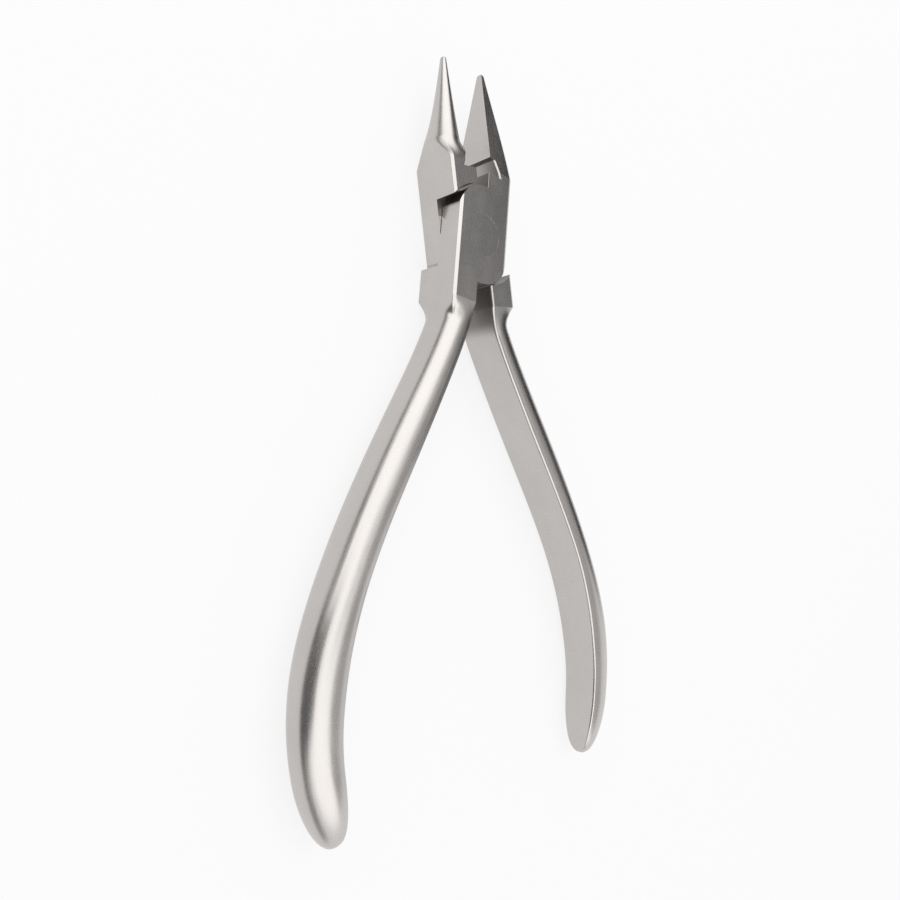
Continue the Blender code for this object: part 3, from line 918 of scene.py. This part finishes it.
def ranged(tree, value, low, high, to_low, to_high):
    node = add_node(tree, "ShaderNodeMapRange", {
        "Value": value, "From Min": low, "From Max": high, "To Min": to_low, "To Max": to_high})
    return node.outputs["Result"]


def math_node(tree, operation, first, second):
    node = add_node(tree, "ShaderNodeMath", {0: first, 1: second}, operation=operation)
    return node.outputs["Value"]


def mixed_value(tree, share_of_second, first, second):
    node = add_node(tree, "ShaderNodeMix", {0: share_of_second, 2: first, 3: second},
                    data_type="FLOAT")
    return node.outputs[0]


def mixed_colour(tree, share_of_second, first, second):
    node = add_node(tree, "ShaderNodeMix", {0: share_of_second, 6: first, 7: second},
                    data_type="RGBA")
    return node.outputs[2]


def satin_steel(name, tone, steel):
    """Satin steel: fine marks along the piece, faint clouds, hairline scratches, bright edges, and
    a darker raw colour for unpolished steel that also paints shade.
    """
    material = bpy.data.materials.new(name)
    material.use_nodes = True
    tree = material.node_tree
    shader = tree.nodes["Principled BSDF"]
    spot = attribute(tree, "grain_place", "Vector")
    edge = attribute(tree, "broken_edge")
    # Mask of the darker raw colour: unpolished cut faces, and painted shade in the recesses, inside
    # the joint and on the handles' inner sides near it.
    raw_and_shade = attribute(tree, "unpolished_and_shade")
    grain = stretched_noise(tree, spot, steel.grain, 14, 3)
    cloud = stretched_noise(tree, spot, steel.cloud, 1.6, 4)
    hair = stretched_noise(tree, spot, steel.scratch, 150, 1)
    scratch = ranged(tree, hair, 0.7, 0.74, 0.0, 1.0)

    grain_swing, cloud_swing, scratch_rise = 0.03, 0.035, 0.06
    rough = math_node(tree, "ADD", ranged(tree, grain, 0.3, 0.7, -grain_swing, grain_swing),
                      ranged(tree, cloud, 0.3, 0.7, steel.roughness - cloud_swing,
                             steel.roughness + cloud_swing))
    rough = math_node(tree, "ADD", rough, math_node(tree, "MULTIPLY", scratch, scratch_rise))
    rough = mixed_value(tree, raw_and_shade, rough, steel.raw_roughness)
    rough = mixed_value(tree, edge, rough, steel.edge_roughness)
    tree.links.new(rough, shader.inputs["Roughness"])

    shade = ranged(tree, cloud, 0.25, 0.75, 0.95, 1.04)
    shade = math_node(tree, "MULTIPLY", shade, ranged(tree, grain, 0.25, 0.75, 0.975, 1.02))
    # Painted shade and unpolished steel: the masked faces take the dark raw colour.
    base = mixed_colour(tree, raw_and_shade, (*tone, 1), (*steel.raw_and_shade, 1))
    base = add_node(tree, "ShaderNodeVectorMath", {0: base, "Scale": shade},
                    operation="SCALE").outputs["Vector"]
    base = mixed_colour(tree, edge, base, (*steel.edge, 1))
    tree.links.new(base, shader.inputs["Base Color"])

    height = math_node(tree, "SUBTRACT", math_node(tree, "MULTIPLY", grain, steel.grain_depth),
                       math_node(tree, "MULTIPLY", scratch, steel.scratch_depth))
    bump = add_node(tree, "ShaderNodeBump", {"Strength": 1.0, "Distance": 1.0, "Height": height})
    tree.links.new(bump.outputs["Normal"], shader.inputs["Normal"])
    shader.inputs["Metallic"].default_value = 1.0
    return material


def stand_for(piece, node, body, material):
    """Let a piece stand for a CAD node, ride on its body and take its material."""
    if node not in frame["nodes"]:
        raise RuntimeError("The packed model has no node named " + node)
    piece.data.materials.clear()
    piece.data.materials.append(material)
    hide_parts(node)
    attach(piece, body)


def arm_steel(scene):
    """The arms' shared material, made once."""
    found = bpy.data.materials.get("satin_arm_steel")
    steel = scene.pliers_steel
    return found or satin_steel("satin_arm_steel", steel.body, steel)


def arm_settings(scene):
    return scene.pliers_joint, scene.pliers_beaks, scene.pliers_handles, scene.pliers_rivet


# Studio

def aim(obj, target, up):
    """Turn a lamp or camera at a point, with its own up near a direction."""
    back = (obj.location - target).normalized()
    right = up.cross(back).normalized()
    rotation = Matrix((right, back.cross(right), back)).transposed()
    obj.rotation_euler = rotation.to_euler()


def make_camera(scene, studio, joint):
    """A camera where the photograph's stood, with the tips at the top of the picture."""
    a, e, r = studio.azimuth, studio.elevation, studio.roll
    back = Vector((-math.sin(a) * math.cos(e), math.sin(e), math.cos(a) * math.cos(e)))
    right = Vector((math.cos(a), 0, math.sin(a)))
    up = back.cross(right)
    turned_right = right * math.cos(r) + up * math.sin(r)
    turned_up = up * math.cos(r) - right * math.sin(r)
    data = bpy.data.cameras.new("camera")
    data.lens = studio.lens
    data.sensor_width = SENSOR_WIDTH
    data.shift_x, data.shift_y = CAMERA_SHIFT
    data.clip_start = 0.001
    camera = new_object("camera", data)
    target = Vector((0, -studio.aim, joint.thickness / 2))
    camera.matrix_world = Matrix.Translation(target + back * studio.distance) @ Matrix(
        (turned_right, turned_up, back)).transposed().to_4x4()
    scene.camera = camera


def white_for_eyes(tree):
    """1 for camera, glossy and transmission rays, else 0."""
    path = add_node(tree, "ShaderNodeLightPath")
    first = math_node(tree, "MAXIMUM", path.outputs["Is Camera Ray"], path.outputs["Is Glossy Ray"])
    return math_node(tree, "MAXIMUM", first, path.outputs["Is Transmission Ray"])


def make_world(scene, studio):
    world = bpy.data.worlds.new("pale_room")
    world.use_nodes = True
    tree = world.node_tree
    level = mixed_value(tree, white_for_eyes(tree), studio.room, 1.0)
    tree.links.new(level, tree.nodes["Background"].inputs["Strength"])
    tree.nodes["Background"].inputs["Color"].default_value = (1, 1, 1, 1)
    scene.world = world


def bare_material(obj, name):
    """Give an object a new material without nodes. Gives back the material's node tree."""
    material = bpy.data.materials.new(name)
    material.use_nodes = True
    material.node_tree.nodes.clear()
    obj.data.materials.clear()
    obj.data.materials.append(material)
    return material.node_tree


def mix_with_glow(tree, share_of_glow, shader, strength):
    """Make the surface a mix of a shader and a white glow."""
    glow = add_node(tree, "ShaderNodeEmission", {"Color": (1, 1, 1, 1), "Strength": strength})
    mixed = add_node(tree, "ShaderNodeMixShader", {0: share_of_glow, 1: shader.outputs[0],
                                                   2: glow.outputs[0]})
    out = add_node(tree, "ShaderNodeOutputMaterial")
    tree.links.new(mixed.outputs[0], out.inputs["Surface"])


def make_floor(studio):
    """A wide pale floor that looks white and keeps the pliers' shadow."""
    bm = bmesh.new()
    bmesh.ops.create_grid(bm, x_segments=2, y_segments=2, size=6.0)
    floor = new_object("floor", mesh_from("floor", bm))
    floor.location.z = -0.05 * MM
    tree = bare_material(floor, "pale_floor")
    diffuse = add_node(tree, "ShaderNodeBsdfDiffuse", {"Color": (*studio.floor, 1)})
    share_of_glow = math_node(tree, "MULTIPLY", white_for_eyes(tree), studio.floor_glow)
    mix_with_glow(tree, share_of_glow, diffuse, 1.0)
    return floor


def panel_mesh(name, distance, azimuths, elevations):
    """Part of a sphere round the pliers, with a cover that fades out at its borders."""
    columns, rows = 32, 12
    fade = 0.22
    bm = bmesh.new()
    cover = bm.verts.layers.float.new("cover")
    grid = []
    for i in range(columns + 1):
        line_up = []
        for j in range(rows + 1):
            u, v = i / columns, j / rows
            spot = toward(lerp(*azimuths, u), lerp(*elevations, v), distance)
            vert = bm.verts.new(spot)
            vert[cover] = smooth(min(u, 1 - u) / fade * 2) * smooth(min(v, 1 - v) / fade)
            line_up.append(vert)
        grid.append(line_up)
    for left, right in zip(grid, grid[1:]):
        for j in range(rows):
            bm.faces.new((left[j], right[j], right[j + 1], left[j + 1]))
    return mesh_from(name, bm)


def make_panel(name, tone, distance, azimuths, elevations):
    """A panel with soft borders, which only reflections see."""
    panel = new_object(name, panel_mesh(name, distance, azimuths, elevations))
    panel.visible_camera = False
    panel.visible_diffuse = False
    panel.visible_shadow = False
    tree = bare_material(panel, name)
    mix_with_glow(tree, attribute(tree, "cover"), add_node(tree, "ShaderNodeBsdfTransparent"), tone)
    return panel


def toward(azimuth, elevation, distance):
    """A point at an azimuth from +X towards +Y and an elevation, both in degrees."""
    a, e = math.radians(azimuth), math.radians(elevation)
    return Vector((math.cos(a) * math.cos(e), math.sin(a) * math.cos(e), math.sin(e))) * distance


def make_softbox(name, power, middle, width, height):
    """A soft lamp, aimed at the middle of the pliers, that reflections don't see."""
    data = bpy.data.lights.new(name, "AREA")
    data.shape = "RECTANGLE"
    data.size = width
    data.size_y = height
    data.energy = power
    lamp = new_object(name, data)
    lamp.location = middle
    lamp.visible_glossy = False
    aim(lamp, Vector((0, -30 * MM, 0)), Vector((0, 0, 1)))


# Operators

class PLIERS_OT_front_arm(bpy.types.Operator):
    """Build the front arm, with the pyramid beak and the left handle"""

    bl_idname = "pliers.front_arm"
    bl_label = "Front arm"

    def execute(self, context):
        scene = context.scene
        settings = arm_settings(scene)
        joint, beaks = settings[0], settings[1]
        piece = make_arm("front_arm_steel", pyramid_mesh(joint, beaks), 0.0, False,
                         -joint.opening / 2, settings)
        stand_for(piece, "front_arm", "front_half", arm_steel(scene))
        return {"FINISHED"}


class PLIERS_OT_rear_arm(bpy.types.Operator):
    """Build the rear arm, with the cone beak and the right handle"""

    bl_idname = "pliers.rear_arm"
    bl_label = "Rear arm"

    def execute(self, context):
        scene = context.scene
        settings = arm_settings(scene)
        joint, beaks = settings[0], settings[1]
        piece = make_arm("rear_arm_steel", cone_mesh(joint, beaks), beaks.notch_runout, True,
                         joint.opening / 2, settings)
        stand_for(piece, "rear_arm", "rear_half", arm_steel(scene))
        return {"FINISHED"}


class PLIERS_OT_rivet(bpy.types.Operator):
    """Build the flush rivet"""

    bl_idname = "pliers.rivet"
    bl_label = "Rivet"

    def execute(self, context):
        scene = context.scene
        joint, rivet, steel = scene.pliers_joint, scene.pliers_rivet, scene.pliers_steel
        mesh = rivet_mesh(joint, rivet)
        mesh.set_sharp_from_angle(angle=math.radians(24))
        spots = mesh.attributes.new("grain_place", "FLOAT_VECTOR", "POINT")
        spots.data.foreach_set("vector", [part for vertex in mesh.vertices for part in vertex.co])
        piece = new_object("rivet_steel", mesh)
        piece.location = (0, 0, joint.thickness / 2)
        material = satin_steel("satin_rivet_steel", steel.rivet, steel)
        stand_for(piece, "pivot_rivet", "front_half", material)
        return {"FINISHED"}


class PLIERS_OT_studio(bpy.types.Operator):
    """Set up the floor, the lights and the camera"""

    bl_idname = "pliers.studio"
    bl_label = "Studio"

    def execute(self, context):
        scene = context.scene
        studio = scene.pliers_studio
        scene.view_settings.view_transform = "Standard"
        make_camera(scene, studio, scene.pliers_joint)
        make_world(scene, studio)
        floor = make_floor(studio)
        make_softbox("large_softbox", studio.softbox, toward(110, 48, 0.9), width=1.45, height=1.05)
        panels = [make_panel(name + "_panel", getattr(studio, name + "_tone"), *shape)
                  for name, *shape in PANELS]
        return {"FINISHED"}


class PLIERS_PT_panel(bpy.types.Panel):
    """Lists the pliers' sizes, finishes and build steps"""

    bl_idname = "PLIERS_PT_panel"
    bl_label = "Bird-beak pliers"
    bl_space_type = "VIEW_3D"
    bl_region_type = "UI"
    bl_category = "Pliers"

    def draw(self, context):
        layout = self.layout
        for group in GROUPS:
            box = layout.box()
            settings = getattr(context.scene, group)
            for key in settings.bl_rna.properties.keys():
                if key not in ("rna_type", "name"):
                    box.prop(settings, key)
        for step in STEPS:
            layout.operator(step.bl_idname)


GROUPS = {
    "pliers_joint": PliersJoint,
    "pliers_beaks": PliersBeaks,
    "pliers_handles": PliersHandles,
    "pliers_rivet": PliersRivet,
    "pliers_steel": PliersSteel,
    "pliers_studio": PliersStudio,
}
STEPS = (PLIERS_OT_front_arm, PLIERS_OT_rear_arm, PLIERS_OT_rivet, PLIERS_OT_studio)


def register():
    for group, kind in GROUPS.items():
        bpy.utils.register_class(kind)
        setattr(bpy.types.Scene, group, PointerProperty(type=kind))
    for kind in (*STEPS, PLIERS_PT_panel):
        bpy.utils.register_class(kind)


def unregister():
    for kind in (PLIERS_PT_panel, *reversed(STEPS)):
        bpy.utils.unregister_class(kind)
    for group, kind in reversed(GROUPS.items()):
        delattr(bpy.types.Scene, group)
        bpy.utils.unregister_class(kind)


def main():
    register()
    bpy.ops.pliers.front_arm()
    bpy.ops.pliers.rear_arm()
    bpy.ops.pliers.rivet()
    bpy.ops.pliers.studio()


if __name__ == "__main__":
    main()
